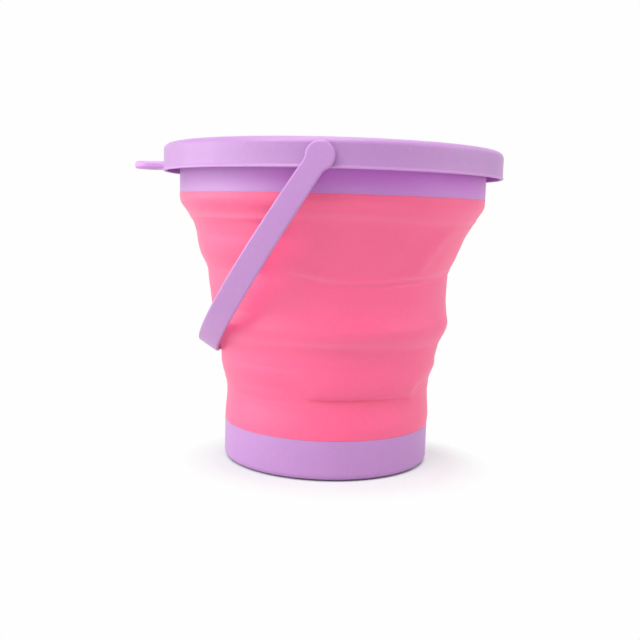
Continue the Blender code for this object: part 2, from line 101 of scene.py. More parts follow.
# Rim. The flare widens the skirt by its draft: (share of the draft left, height in edge fillets)
SKIRT_HEIGHT = 19.2 * MM
SKIRT_WALL = 2.4 * MM
SKIRT_DRAFT = 0.4 * MM
SKIRT_EDGE_FILLET = 0.8 * MM
SKIRT_FLARE_SHARES = [(1.0, 2.7), (0.9, 2.4), (0.1, 1.9)]
DECK = 2.5 * MM
DECK_OUTER_FILLET = 4.5 * MM
DECK_INNER_FILLET = 1.5 * MM
RIB_COUNT = 16
RIB_WIDTH = 1.6 * MM
RIB_SETBACK = 4.0 * MM
BOSS_RADIUS = 6.5 * MM
BOSS_LENGTH = 3.0 * MM
SKIRT_BOTTOM = RIM_TOP - SKIRT_HEIGHT
SKIRT_INNER_RADIUS = RIM_RADIUS - SKIRT_WALL
COLLAR_INNER_RADIUS = COLLAR_RADIUS - TIER_WALL

# Hanging tab
TAB_WIDTH = 26.0 * MM
TAB_THICKNESS = 5.5 * MM
TAB_LIFT = 2.3 * MM
TAB_EDGE = 2.0 * MM
TAB_HOLE_RADIUS = 5.0 * MM
TAB_HOLE_FILLET = 0.8 * MM
TAB_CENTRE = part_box("rim_frame")[0].x + TAB_WIDTH / 2

# Bail and its studs, which sit a little inside the solid's reach
hinge = [joint for joint in frame["joints"] if joint["name"] == "bail_swing"][0]
PIVOT = Vector(hinge["pos_m"])
BAIL_TURN = math.radians(180.0 - hinge["range_deg"][1] / 2)
BAIL_THICKNESS = 3.6 * MM
BAIL_HALF_WIDTH = 8.25 * MM
BAIL_TAPER_SHARE = 0.16
BAIL_EDGE = 1.3 * MM
BAIL_REACH = 160.2 * MM
BAIL_INSET = 0.3 * MM
BAIL_HALF_SPAN = reach_of("handle") - BAIL_INSET - BAIL_THICKNESS / 2
DISC_RADIUS = 9.25 * MM
NECK_FILLET = 6.0 * MM
STUD_RADIUS = 3.0 * MM
STUD_HEAD = 3.6 * MM
STUD_TIP_SHARE = 0.75
STUD_BARB = 0.8 * MM
STUD_SLOT = 1.2 * MM

# Base. In degrees, its rounded corner ends at FOOT_CUT, and the foot's inner edge rounds by FOOT_TURN
BASE_WALL = 2.5 * MM
BASE_FLOOR = 2.4 * MM
BASE_CORNER = 5.0 * MM
BASE_INNER_FILLET = 3.5 * MM
FOOT_HEIGHT = 1.8 * MM
FOOT_WIDTH = 5.5 * MM
FOOT_INSET = 1.0 * MM
FOOT_CUT = 47.0
FOOT_TURN = 70.0
GATE_PAD_RADIUS = 12.0 * MM
BASE_RIB_COUNT = 8
BASE_RIB_WIDTH = 1.8 * MM

# Facets, and the angles in degrees over which an edge shows as crisp
TURN_STEPS = 240
ROUND_STEPS = 64
FILLET_STEPS = 8
EDGE_STEPS = 6
FLAT_STEPS = 6
DISC_STEPS = 30
NECK_STEPS = 7
STRAP_STEPS = 69
BOW_STEPS = 720
MERGE_DISTANCE = 0.001 * MM
CRISP_ANGLE = 40.0
WALL_CRISP_ANGLE = 55.0

# The side that the photograph shows, as an angle about the bucket's axis. A bearing is in degrees from
# there, growing to the photograph's right. A fade, start, end, head, foot or slope in brackets is where a
# change begins and where it is done, and a gap is a bearing and a width. FACING_FADE is in cosines
FRONT = math.radians(-85.81)
LEFT = FRONT - math.radians(90.0)
FACING_FADE = (0.2, 0.6)

# The wall's course: (share of the band's height from its bottom, share of the way to the next radius)
LOWER_TIER_SHARES = [(0.0, 0.0), (0.55, 1.0), (1.0, 1.0)]
LOWER_FOLD_SHARES = [
    (0.09, 0.07), (0.175, 0.185), (0.25, 0.27), (0.325, 0.35), (0.475, 0.42), (0.625, 0.465),
    (0.7, 0.51), (0.775, 0.58), (0.85, 0.67), (0.925, 0.83), (1.0, 0.93),
]
MIDDLE_TIER_SHARES = [(0.1, -0.006), (0.25, -0.018), (0.5, -0.025), (0.88, 0.006), (1.0, 0.04)]
UPPER_FOLD_SHARES = [
    (0.087, 0.12), (0.196, 0.218), (0.304, 0.29), (0.413, 0.363), (0.543, 0.427), (0.674, 0.533),
    (0.739, 0.592), (0.848, 0.724), (0.935, 0.839), (1.0, 0.941),
]
UPPER_TIER_SHARES = [(0.4, 0.992), (1.0, 1.0)]
COURSE_SPACING = 0.1 * MM
COURSE_MARGIN = 6.0 * MM
COURSE_SOFTNESS = 1.2 * MM

# How the wall's two creases run round it: (bearing, millimetres above the tier's top). A pull is how far
# from its crease the course still follows it
CREASE_LEVEL = MIDDLE_TIER_TOP
CREASE_KNOTS = [
    (-180, 0.5), (-120, 1.5), (-85, 2.5), (-60, 5.5), (-29, 3.2), (-19, 2.2), (-11, 0.2), (-3, -2.2),
    (7, -3.4), (20, -3.2), (34, -0.9), (45, -0.4), (59, 1.4), (67, 2.8), (90, 2.2), (180, 0.5),
]
LIP_LEVEL = LOWER_TIER_TOP
LIP_KNOTS = [
    (-180, 1.0), (-85, 0.0), (-40, 2.5), (-19, 1.8), (-12, -1.4), (-7, -3.2), (17, -2.6), (35, -3.4),
    (50, -4.8), (54, -2.2), (61, 1.8), (71, 4.6), (90, 4.8), (180, 1.0),
]
KNOT_SOFTNESS = 2.0
SOFTENING_REACH = 30
CREASE_PULL = 15 * MM
LIP_PULL = 12 * MM
LIP_OVER_COURSE = 1.5 * MM

# How the soft wall sits: (height, lean to the photograph's left, swelling), all in millimetres
SLACK = [
    (28.5, 0.0, 0.0), (34.8, -0.4, 0.5), (41, -0.45, 0.4), (47.3, -0.45, 0.15), (53.5, -0.2, 0.0),
    (59.7, 0.1, 0.9), (65.8, -0.1, 0.8), (72, -0.25, 0.2), (78, -0.4, -0.35), (90, -0.35, 0.0),
    (105, -0.2, 0.0), (114.7, 0.1, -0.4), (120.8, 0.75, -0.2), (126.8, 1.2, 0.0), (132.8, 1.6, 0.3),
    (138.9, 1.75, 0.5), (144.8, 2.0, 0.8), (150.9, 2.1, 0.75), (156.8, 1.8, 0.45), (162.8, 1.1, 0.2),
    (168.7, 0.4, 0.1), (174.7, -0.4, 0.15), (187, 0.0, 0.0),
]

# A slight bulge on the photograph's right, low in the middle tier
BULGE = 0.5 * MM
BULGE_LEVEL = LOWER_FOLD_TOP + 6 * MM
BULGE_WIDTH = 5 * MM

# The bead along the crease, with a fine groove under it. It is fainter to the left and to the right
BEAD = 0.35 * MM
BEAD_WIDTH = 0.9 * MM
GROOVE = 0.52 * MM
GROOVE_WIDTH = 1.0 * MM
GROOVE_DROP = 3.2 * MM
BEAD_START = (-24, -8)
BEAD_END = (62, 85)
BEAD_LEFT_SHARE = 0.25
BEAD_RIGHT_SHARE = 0.4

# The dent that folding has left in the upper fold: its sides' bearings at three levels, their slopes
# from there, and its ridges
DENT = 2.0 * MM
DENT_LEVELS = [CREASE_LEVEL, CREASE_LEVEL + 17 * MM, CREASE_LEVEL + 35 * MM]
DENT_LEFT = [-9, -21, -30]
DENT_RIGHT = [35, 41, 50]
DENT_LEFT_SLOPE = (-2, 11)
DENT_RIGHT_SLOPE = (-11, 4)
DENT_FOOT = 7 * MM
DENT_HEAD = (UPPER_FOLD_TOP - 24 * MM, UPPER_FOLD_TOP - 6 * MM)
DENT_RIDGE = 1.1 * MM
DENT_RIDGE_ASIDE = 3
DENT_RIDGE_WIDTH = 5

# Soft rings that run right round, under the upper tier and under the middle one
UPPER_RING = 0.95 * MM
UPPER_RING_LEVEL = UPPER_FOLD_TOP - 8.7 * MM
UPPER_RING_WIDTH = 1.8 * MM
UPPER_RING_TILT = 1.0 * MM
LOWER_RING = 0.90 * MM
LOWER_RING_LEVEL = LOWER_FOLD_TOP - 6.0 * MM
LOWER_RING_WIDTH = 2.0 * MM
LOWER_RING_GAP = (-94, 40)
RING_BACK_SHARE = 0.35

# Painted highlights: how far the rubber is made paler along the crease and on the two rings, where light
# catches the folds
PALE_CREASE_SHARE = 0.9
PALE_CREASE_RAISE = 0.4 * MM
PALE_CREASE_WIDTH = 1.3 * MM
PALE_START = (-26, -8)
PALE_END = (62, 85)
PALE_RIGHT_SHARE = 0.3
PALE_GAP = (14, 16)
PALE_GAP_SHARE = 0.55
PALE_UPPER_SHARE = 0.62
PALE_UPPER_LEVEL = UPPER_FOLD_TOP - 7.0 * MM
PALE_UPPER_WIDTH = 2.4 * MM
PALE_LOWER_SHARE = 0.50
PALE_LOWER_LEVEL = LOWER_FOLD_TOP - 4.8 * MM
PALE_LOWER_WIDTH = 3.4 * MM
PALE_BACK_SHARE = 0.3

# The lip: the lower fold's edge, which hangs over the lowest tier at the front, with a pocket under it
LIP = 0.95 * MM
LIP_FADE = 17 * MM
LIP_UNDERCUT = 0.9 * MM
LIP_START = (-14, -5)
LIP_END = (47, 53)
POCKET = 0.45 * MM
POCKET_TUCK = 0.8 * MM
POCKET_DROP = 1.1 * MM
POCKET_WIDTH = 0.6 * MM
SIDE_BEAD = 0.45 * MM
SIDE_BEAD_WIDTH = 1.2 * MM
SIDE_BEAD_START = (48, 54)
SIDE_BEAD_END = (72, 84)
DIMPLE = 0.7 * MM
DIMPLE_BEARING = -11.0
DIMPLE_SPREAD = 3.5
DIMPLE_LEVEL = LIP_LEVEL + 2 * MM
DIMPLE_WIDTH = 4 * MM

# The hollow in the lowest tier under the lip, and the small seat of the swung bail
HOLLOW = 0.6 * MM
HOLLOW_START = (-14, -4)
HOLLOW_END = (42, 52)
HOLLOW_FOOT = (LOWER_TIER_TOP - 26 * MM, LOWER_TIER_TOP - 6 * MM)
HOLLOW_HEAD = (LOWER_TIER_TOP - 4 * MM, LOWER_TIER_TOP)
BAIL_SEAT = 0.8 * MM
BAIL_SEAT_SPREAD = 9
BAIL_SEAT_WIDTH = 3.5 * MM

# Steps between the wall's rows, the bands with finer rows, and the height in which a web thins
OUTER_STEP = 0.8 * MM
OUTER_FINE_STEP = 0.32 * MM
INNER_STEP = 2.4 * MM
INNER_FINE_STEP = 1.2 * MM
FINE_BANDS = [
    (LIP_LEVEL - 8 * MM, LIP_LEVEL + 8 * MM),
    (CREASE_LEVEL - 6 * MM, CREASE_LEVEL + 8 * MM),
]
WEB_THINNING = 6 * MM

# Noises that vary the surfaces, in cells per metre, and the span that most of a noise's values fill
DRIFT_SCALE = 9.0
FLECK_SCALE = 420.0
FLECK_SPAN = (0.5, 0.75)
FLECK_SHARE = 0.35
SATIN_SCALE = 36.0
NOISE_SPAN = (0.3, 0.7)
SHEEN_ROUGHNESS = 0.45

# Painted light and shade: how much lighter or darker each moulding's lavender is made, for how light
# falls on it, though all are one plastic
RIM_PAINTED_LIGHTING = 0.875
TAB_PAINTED_LIGHTING = 1.10
BAIL_PAINTED_LIGHTING = 0.97
BASE_PAINTED_LIGHTING = 1.01

# Painted shade: redder, deeper tones of the collar and its channel that stand in for the skirt's shadow
# and the light bounced under it, the spans over which they set in, and those over which they change
COLLAR_PAINTED_SHADE_LOW_LEFT = (0.500, 0.238, 0.562)
COLLAR_PAINTED_SHADE_LOW_RIGHT = (0.558, 0.221, 0.628)
COLLAR_PAINTED_SHADE_HIGH_LEFT = (0.455, 0.162, 0.535)
COLLAR_PAINTED_SHADE_HIGH_RIGHT = (0.590, 0.163, 0.655)
COLLAR_FACE_SPAN = (COLLAR_RADIUS - 1.5 * MM, COLLAR_RADIUS - 0.5 * MM)
SKIRT_INSIDE_SPAN = (SKIRT_INNER_RADIUS + 0.4 * MM, RIM_RADIUS - 0.8 * MM)
DECK_SPAN = (RIM_TOP - DECK, RIM_TOP - DECK / 2)
COLLAR_CHANGE_ACROSS = (-65 * MM, -15 * MM)
COLLAR_CHANGE_UP = (COLLAR_BOTTOM + 2.5 * MM, SKIRT_BOTTOM - 5 * MM)

# Painted highlight along the skirt's lower edge: its tone, and its spans inwards and upwards in edge
# fillets
SKIRT_EDGE_HIGHLIGHT = (0.568, 0.272, 0.640)
SKIRT_EDGE_IN_SHARES = (0.8, 0.4)
SKIRT_EDGE_UP_SHARES = (1.3, 2.0)

# Tone of the rubber's painted highlights along its folds
HIGHLIGHT_PINK = (0.950, 0.150, 0.320)

# Floor and surroundings. The shadow shows inside a circle that is squeezed and moved off the axis
SHOWN_WHITE = 0.992
WORLD_LIGHT = 0.30
FLOOR_HALF = 2.5
FLOOR_BOUNCE = 0.74
FLOOR_SHADE = (0.752, 0.785, 0.787)
SHADOW_FADE = (72 * MM, 96 * MM)
SHADOW_ASIDE = 9 * MM
SHADOW_NEARER = 19 * MM
SHADOW_SQUEEZE = 0.84
SHADOW_THIN = 0.49
FOOT_SHADE_FADE = (BASE_RADIUS - 2.0 * MM, BASE_RADIUS + 0.5 * MM)

# Lamps: (name, place to the camera's right, away from it and up, size, power, colour)
PLAIN_LIGHT = (1.0, 1.0, 1.0)
ROSY_LIGHT = (1.0, 0.84, 0.95)
LAMPS = [
    ("key", (-0.68, -0.81, 1.06), 0.8, 10.2, PLAIN_LIGHT),
    ("side_left", (-1.02, -0.60, 0.10), 1.1, 3.0, PLAIN_LIGHT),
    ("edge_left", (-1.19, -0.06, 0.00), 1.1, 8.6, PLAIN_LIGHT),
    ("front_high", (-0.10, -0.98, 2.40), 1.3, 19.4, PLAIN_LIGHT),
    ("top", (0.12, 0.60, 2.60), 2.0, 26.0, PLAIN_LIGHT),
    ("fill_right", (1.12, -0.22, 0.60), 1.2, 6.5, ROSY_LIGHT),
]

# How the photograph was taken: where from, and how far the camera was turned, tipped and rolled
CAMERA_PLACE = (0.04225, -0.66604, 0.18205)
CAMERA_TURN = math.radians(4.19)
CAMERA_TIP = math.radians(6.79)
CAMERA_ROLL = math.radians(1.625)
CAMERA_LENS = 50.0
CAMERA_SENSOR = 36.0
CAMERA_NEAR = 0.01


# Shapes

def arc(centre, radius, start, end, steps=FILLET_STEPS):
    """Points of a fillet in an outline's plane, from one angle in degrees to another."""
    angles = np.radians(np.linspace(start, end, steps + 1))
    return [(centre[0] + radius * math.cos(a), centre[1] + radius * math.sin(a)) for a in angles]


def scene_object(name, data):
    """A new object in the scene."""
    thing = bpy.data.objects.new(name, data)
    bpy.context.scene.collection.objects.link(thing)
    return thing


def shaded(mesh, crisp):
    """Smooth shading, apart from edges steeper than crisp degrees."""
    mesh.shade_smooth()
    mesh.set_sharp_from_angle(angle=math.radians(crisp))


def new_piece(name, points, faces, crisp=CRISP_ANGLE):
    """A mesh object with its faces pointing out."""
    mesh = bpy.data.meshes.new(name)
    mesh.from_pydata([tuple(p) for p in points], [], faces)
    shape = bmesh.new()
    shape.from_mesh(mesh)
    bmesh.ops.remove_doubles(shape, verts=shape.verts, dist=MERGE_DISTANCE)
    bmesh.ops.recalc_face_normals(shape, faces=shape.faces)
    shape.to_mesh(mesh)
    shape.free()
    shaded(mesh, crisp)
    return scene_object(name, mesh)


def woven_faces(rows, columns, closed):
    """Quads between neighbouring rings of points, and from the last ring to the first one if closed."""
    faces = []
    for row in range(rows if closed else rows - 1):
        here = row * columns
        there = ((row + 1) % rows) * columns
        for column in range(columns):
            beside = (column + 1) % columns
            faces.append((here + column, here + beside, there + beside, there + column))
    return faces


def turned(name, outline, closed=True, steps=TURN_STEPS):
    """A solid of revolution about Z. An outline that isn't closed begins and ends on the axis."""
    angles = np.arange(steps) * math.tau / steps
    outline = np.array(outline)
    points = np.zeros((len(outline), steps, 3))
    points[:, :, 0] = outline[:, 0, None] * np.cos(angles)
    points[:, :, 1] = outline[:, 0, None] * np.sin(angles)
    points[:, :, 2] = outline[:, 1, None]
    return new_piece(name, points.reshape(-1, 3), woven_faces(len(outline), steps, closed))


def placed(piece, matrix):
    """The piece with its mesh moved, and its object left at the origin."""
    piece.data.transform(matrix)
    return piece


def block(name, size, matrix):
    """A block that is only ever joined to a piece or cut from one."""
    shape = bmesh.new()
    bmesh.ops.create_cube(shape, size=1.0, matrix=matrix @ Matrix.Diagonal((*size, 1.0)))
    mesh = bpy.data.meshes.new(name)
    shape.to_mesh(mesh)
    shape.free()
    return scene_object(name, mesh)


def radial_rib(name, number, count, near, far, width, low, high):
    """One of a ring of upright ribs, between two radii and two levels."""
    turn = Matrix.Rotation(math.tau * (number + 0.5) / count, 4, "Z")
    place = turn @ Matrix.Translation(((near + far) / 2, 0.0, (low + high) / 2))
    return block(f"{name}_{number}", (far - near, width, high - low), place)


def combined(piece, steps):
    """The piece with each tool joined or cut away in turn, and the tools removed."""
    for operation, tool in steps:
        modifier = piece.modifiers.new(tool.name, "BOOLEAN")
        modifier.operation = operation
        modifier.solver = "EXACT"
        modifier.object = tool
    bpy.context.view_layer.update()
    graph = bpy.context.evaluated_depsgraph_get()
    mesh = bpy.data.meshes.new_from_object(piece.evaluated_get(graph))
    piece.modifiers.clear()
    piece.data = mesh
    for _, tool in steps:
        bpy.data.objects.remove(tool)
    shaded(mesh, CRISP_ANGLE)
    return piece


# Rim

def rim_outline():
    """Deck, down-turned skirt and collar as one inverted U."""
    deck_under = RIM_TOP - DECK
    lip_radius = COLLAR_RADIUS - (TIER_WALL - SEAT_GAP) / 2
    lap_top = TONGUE_TOP + SEAT_GAP
    edge = SKIRT_EDGE_FILLET
    root = DECK_INNER_FILLET
    skirt_radius = RIM_RADIUS - SKIRT_DRAFT
    top_centre = (skirt_radius - DECK_OUTER_FILLET, RIM_TOP - DECK_OUTER_FILLET)
    inner_centre = (COLLAR_INNER_RADIUS + root, RIM_TOP - root)
    return [
        *arc(top_centre, DECK_OUTER_FILLET, 90, 0, 2 * FILLET_STEPS),
        (skirt_radius, SKIRT_BOTTOM + SKIRT_HEIGHT / 2),
        *[(RIM_RADIUS - left * SKIRT_DRAFT, SKIRT_BOTTOM + up * edge) for left, up in SKIRT_FLARE_SHARES],
        *arc((RIM_RADIUS - edge, SKIRT_BOTTOM + edge), edge, 0, -90),
        *arc((SKIRT_INNER_RADIUS + edge, SKIRT_BOTTOM + edge), edge, -90, -180),
        *arc((SKIRT_INNER_RADIUS - root, deck_under - root), root, 0, 90),
        *arc((COLLAR_RADIUS + root, deck_under - root), root, 90, 180),
        (COLLAR_RADIUS, COLLAR_BOTTOM + HAIRLINE),
        (lip_radius, COLLAR_BOTTOM + HAIRLINE),
        (lip_radius, lap_top),
        (COLLAR_INNER_RADIUS, lap_top),
        *arc(inner_centre, root, 180, 90),
    ]


def rim_rib(number):
    """One stiffening rib in the channel under the deck."""
    near = COLLAR_RADIUS - OVERRUN / 2
    far = SKIRT_INNER_RADIUS + OVERRUN / 2
    low = SKIRT_BOTTOM + RIB_SETBACK
    return radial_rib("rib", number, RIB_COUNT, near, far, RIB_WIDTH, low, RIM_TOP - DECK / 2)


def pivot_rod(name, side, radius, near, far):
    """A round rod along the pivots' line on one side, between two distances from the bucket's axis."""
    rod = turned(name, [(0.0, near), (radius, near), (radius, far), (0.0, far)], False, ROUND_STEPS)
    place = Matrix.Translation(PIVOT) @ Matrix.Rotation(math.radians(-90.0 * side), 4, "X")
    return placed(rod, place)


def rim_moulding():
    """The rim with its ribs, and the bosses and bores that carry the bail's studs."""
    boss_end = SKIRT_INNER_RADIUS - BOSS_LENGTH
    bore_radius = STUD_RADIUS + SEAT_GAP
    steps = [("UNION", rim_rib(number)) for number in range(RIB_COUNT)]
    for side in (-1, 1):
        boss = pivot_rod(f"boss_{side}", side, BOSS_RADIUS, boss_end, SKIRT_INNER_RADIUS + OVERRUN)
        steps.append(("UNION", boss))
    for side in (-1, 1):
        bore = pivot_rod(f"bore_{side}", side, bore_radius, boss_end - OVERRUN, RIM_RADIUS + OVERRUN)
        steps.append(("DIFFERENCE", bore))
    return combined(turned("rim_moulding", rim_outline()), steps)


# Flat strips with rounded edges

def rounded_side(thickness, edge):
    """A strip's rounded side from its top to its underside, as (inset from the outline, level)."""
    flat = thickness / 2 - edge
    turns = np.radians(np.linspace(90, 0, EDGE_STEPS + 1))
    upper = [(edge * (1 - math.cos(a)), flat + edge * math.sin(a)) for a in turns]
    return upper + [(inset, -level) for inset, level in reversed(upper)]


def strip(name, stations, thickness, edge, place, capped=False):
    """A strip built from (along, half width, outward normal) stations, put in the scene by place."""
    profile = rounded_side(thickness, edge)
    shares = np.linspace(1.0, -1.0, FLAT_STEPS + 1)[1:-1]
    rings = []
    for along, half, (normal_along, normal_across) in stations:
        side = [(along - normal_along * inset, half - normal_across * inset, up) for inset, up in profile]
        inner_along = along - normal_along * edge
        inner_half = half - normal_across * edge
        rings.append([
            *side,
            *[(inner_along, inner_half * share, -thickness / 2) for share in shares],
            *[(station, -across, up) for station, across, up in reversed(side)],
            *[(inner_along, -inner_half * share, thickness / 2) for share in shares],
        ])
    points = np.array(rings)
    rows, columns = points.shape[:2]
    faces = woven_faces(rows, columns, False)
    if capped:
        faces.append(tuple(range((rows - 1) * columns, rows * columns)))
    return new_piece(name, place(points.reshape(-1, 3)), faces)


def round_tip(radius, last_angle, steps):
    """Stations round the end of a strip, as (distance past the centre, half width, normal)."""
    stations = []
    for angle in np.radians(np.linspace(0.0, last_angle, steps + 1)):
        normal = (-math.cos(angle), math.sin(angle))
        stations.append((radius * normal[0], radius * normal[1], normal))
    return stations


# Hanging tab

def tab_hole():
    """The cutter for the tab's hole, with a fillet at both ends."""
    top = TAB_THICKNESS / 2
    wide = TAB_HOLE_RADIUS + TAB_HOLE_FILLET
    level = top - TAB_HOLE_FILLET
    outline = [
        (0.0, top + OVERRUN),
        (wide, top + OVERRUN),
        *arc((wide, level), TAB_HOLE_FILLET, 90, 180),
        *arc((wide, -level), TAB_HOLE_FILLET, 180, 270),
        (wide, -top - OVERRUN),
        (0.0, -top - OVERRUN),
    ]
    return turned("tab_hole", outline, False, ROUND_STEPS)


def hanging_tab():
    """Flat tab with a half-round end, rounded edges and the hole that the bucket hangs by."""
    half = TAB_WIDTH / 2
    root = -math.sqrt((RIM_RADIUS - SKIRT_WALL / 2) ** 2 - half**2)
    centre = (TAB_CENTRE, 0.0, SKIRT_BOTTOM + TAB_LIFT + TAB_THICKNESS / 2)
    stations = round_tip(half, 90.0, 3 * FILLET_STEPS)
    stations.append((root - TAB_CENTRE, half, (0.0, 1.0)))

    def place(points):
        return points + np.array(centre)

    tab = strip("hanging_tab", stations, TAB_THICKNESS, TAB_EDGE, place, capped=True)
    return combined(tab, [("DIFFERENCE", placed(tab_hole(), Matrix.Translation(centre)))])


# Bail

def bail_line():
    """The strap's middle line in its own plane: distance from a pivot, point, and outward normal."""
    angles = np.linspace(0.0, math.pi, BOW_STEPS + 1)
    bow = np.stack([BAIL_HALF_SPAN * np.cos(angles), -BAIL_REACH * np.sin(angles)], axis=1)
    lead = DISC_RADIUS + OVERRUN
    points = np.concatenate([[[BAIL_HALF_SPAN, lead]], bow, [[-BAIL_HALF_SPAN, lead]]])
    along = np.concatenate([[0.0], np.cumsum(np.linalg.norm(np.diff(points, axis=0), axis=1))]) - lead
    tangent = np.gradient(points, along, axis=0)
    tangent /= np.linalg.norm(tangent, axis=1)[:, None]
    normal = np.stack([-tangent[:, 1], tangent[:, 0]], axis=1)
    return along, points, normal


def strap_half_width(reach):
    """Half the strap's width, which grows with the distance from the pivots' line."""
    share = min(max(reach / BAIL_REACH, 0.0), 1.0)
    return BAIL_HALF_WIDTH * (1 - BAIL_TAPER_SHARE * (1 - share) ** 2)


def bail_stations(along, line):
    """The strap's length, and half of it from a pivot: round disc, hollow neck and strap."""
    length = along[-1] - DISC_RADIUS - OVERRUN
    neck_half = strap_half_width(DISC_RADIUS)
    sum_radius = DISC_RADIUS + NECK_FILLET
    neck_end = math.sqrt(sum_radius**2 - (neck_half + NECK_FILLET) ** 2)
    meeting = math.degrees(math.acos(-neck_end / sum_radius))
    stations = round_tip(DISC_RADIUS, meeting, DISC_STEPS)
    for angle in np.radians(np.linspace(meeting, 90.0, NECK_STEPS + 1))[1:]:
        normal = (-math.cos(angle), math.sin(angle))
        station = neck_end - NECK_FILLET * normal[0]
        stations.append((station, neck_half + NECK_FILLET - NECK_FILLET * normal[1], normal))
    for station in np.linspace(neck_end, length / 2, STRAP_STEPS + 1)[1:]:
        reach = -np.interp(station, along, line[:, 1])
        stations.append((station, max(neck_half, strap_half_width(reach)), (0.0, 1.0)))
    return length, stations


def pivot_stud(side):
    """Stud with the barbed and slotted head that snaps into the rim's boss."""
    boss_end = SKIRT_INNER_RADIUS - BOSS_LENGTH - SEAT_GAP
    barb = STUD_RADIUS + STUD_BARB
    outline = [
        (0.0, BAIL_HALF_SPAN),
        (STUD_RADIUS, BAIL_HALF_SPAN),
        (STUD_RADIUS, boss_end),
        (barb, boss_end),
        (barb, boss_end - STUD_BARB),
        (STUD_RADIUS * STUD_TIP_SHARE, boss_end - STUD_HEAD),
        (0.0, boss_end - STUD_HEAD),
    ]
    stud = turned(f"stud_{side}", outline, False, ROUND_STEPS)
    placed(stud, Matrix.Rotation(math.radians(-90.0 * side), 4, "X"))
    slot_place = Matrix.Translation((0.0, side * (boss_end - STUD_HEAD / 2), 0.0))
    slot = block(f"slot_{side}", (STUD_SLOT, STUD_HEAD + 2 * OVERRUN, 4 * barb), slot_place)
    return combined(stud, [("DIFFERENCE", slot)])


def bail_strap():
    """The whole bail, from its bow's own plane to where it rests against the wall."""
    along, line, normal = bail_line()
    length, half = bail_stations(along, line)
    other = [(length - a, w, (-n[0], n[1])) for a, w, n in reversed(half[:-1])]

    def place(points):
        spread = [np.interp(points[:, 0], along, column) for column in (*line.T, *normal.T)]
        out = np.zeros_like(points)
        out[:, 0] = points[:, 1]
        out[:, 1] = spread[0] + spread[2] * points[:, 2]
        out[:, 2] = spread[1] + spread[3] * points[:, 2]
        return out

    strap = strip("bail_strap", half + other, BAIL_THICKNESS, BAIL_EDGE, place)
    combined(strap, [("UNION", pivot_stud(-1)), ("UNION", pivot_stud(1))])
    return placed(strap, Matrix.Translation(PIVOT) @ Matrix.Rotation(BAIL_TURN, 4, "Y"))


# Base

def base_outline():
    """Cup of the base: floor, wall with its moulded lip, foot ring and the gate pad in the middle."""
    floor_top = FOOT_HEIGHT + BASE_FLOOR
    inner_radius = BASE_RADIUS - BASE_WALL
    lip_radius = BASE_RADIUS - (BASE_WALL - SEAT_GAP) / 2
    lap_bottom = TONGUE_BOTTOM - SEAT_GAP
    inner_centre = (inner_radius - BASE_INNER_FILLET, floor_top + BASE_INNER_FILLET)
    corner_centre = (BASE_RADIUS - BASE_CORNER, BASE_CORNER)
    corner_end = BASE_CORNER * (1 - math.sin(math.radians(FOOT_CUT)))
    foot_edge = BASE_RADIUS - BASE_CORNER - FOOT_INSET
    foot_radius = BASE_RADIUS - BASE_CORNER - FOOT_WIDTH
    soft = FOOT_HEIGHT / 3
    return [
        (0.0, floor_top),
        *arc(inner_centre, BASE_INNER_FILLET, -90, 0),
        (inner_radius, lap_bottom),
        (lip_radius, lap_bottom),
        (lip_radius, BASE_TOP - HAIRLINE),
        (BASE_RADIUS, BASE_TOP - HAIRLINE),
        *arc(corner_centre, BASE_CORNER, 0, -FOOT_CUT, 2 * FILLET_STEPS),
        (foot_edge, corner_end + HAIRLINE),
        (foot_edge - HAIRLINE, 0.0),
        *arc((foot_radius + soft, soft), soft, -90, -90 - FOOT_TURN),
        (foot_radius - FOOT_HEIGHT, FOOT_HEIGHT),
        (GATE_PAD_RADIUS + FOOT_HEIGHT, FOOT_HEIGHT),
        *arc((GATE_PAD_RADIUS - soft, soft), soft, FOOT_TURN - 90, -90),
        (0.0, 0.0),
    ]


def base_rib(number):
    """One radial rib under the floor, set back from what the base stands on."""
    near = GATE_PAD_RADIUS - OVERRUN
    far = BASE_RADIUS - BASE_CORNER - FOOT_WIDTH + OVERRUN
    top = FOOT_HEIGHT + BASE_FLOOR / 2
    return radial_rib(
        "base_rib", number, BASE_RIB_COUNT, near, far, BASE_RIB_WIDTH, FOOT_HEIGHT / 4, top
    )


def base_moulding():
    """The base cup with its ribs."""
    base = turned("base_moulding", base_outline(), False)
    return combined(base, [("UNION", base_rib(number)) for number in range(BASE_RIB_COUNT)])


# Folding wall

def rise(value, start, end):
    """0 before start, 1 after end, and a soft turn between them."""
    share = np.clip((value - start) / (end - start), 0.0, 1.0)
    return share * share * (3.0 - 2.0 * share)


def between(value, start, end, after=0.0):
    """0 before the fade at the start, 1 between the two fades, and a share after the one at the end."""
    return rise(value, *start) * (1 - (1 - after) * rise(value, *end))


def bump(value, middle, width):
    """1 at the middle and near 0 two widths away."""
    return np.exp(-(((value - middle) / width) ** 2))


def facing(bearing, behind):
    """1 on the side that the photograph shows, and a share behind."""
    return behind + (1 - behind) * rise(np.cos(np.radians(bearing)), *FACING_FADE)


def softened(values, width):
    """The values smoothed over some steps, without the margin of SOFTENING_REACH steps at both ends."""
    weights = bump(np.arange(-SOFTENING_REACH, SOFTENING_REACH + 1), 0.0, width)
    return np.convolve(values, weights / weights.sum(), mode="valid")


def band(shares, bottom, top, lower_radius, upper_radius):
    """Heights and radii of one band of the wall, from its shares."""
    height = top - bottom
    across = upper_radius - lower_radius
    return [(bottom + height * up, lower_radius + across * out) for up, out in shares]


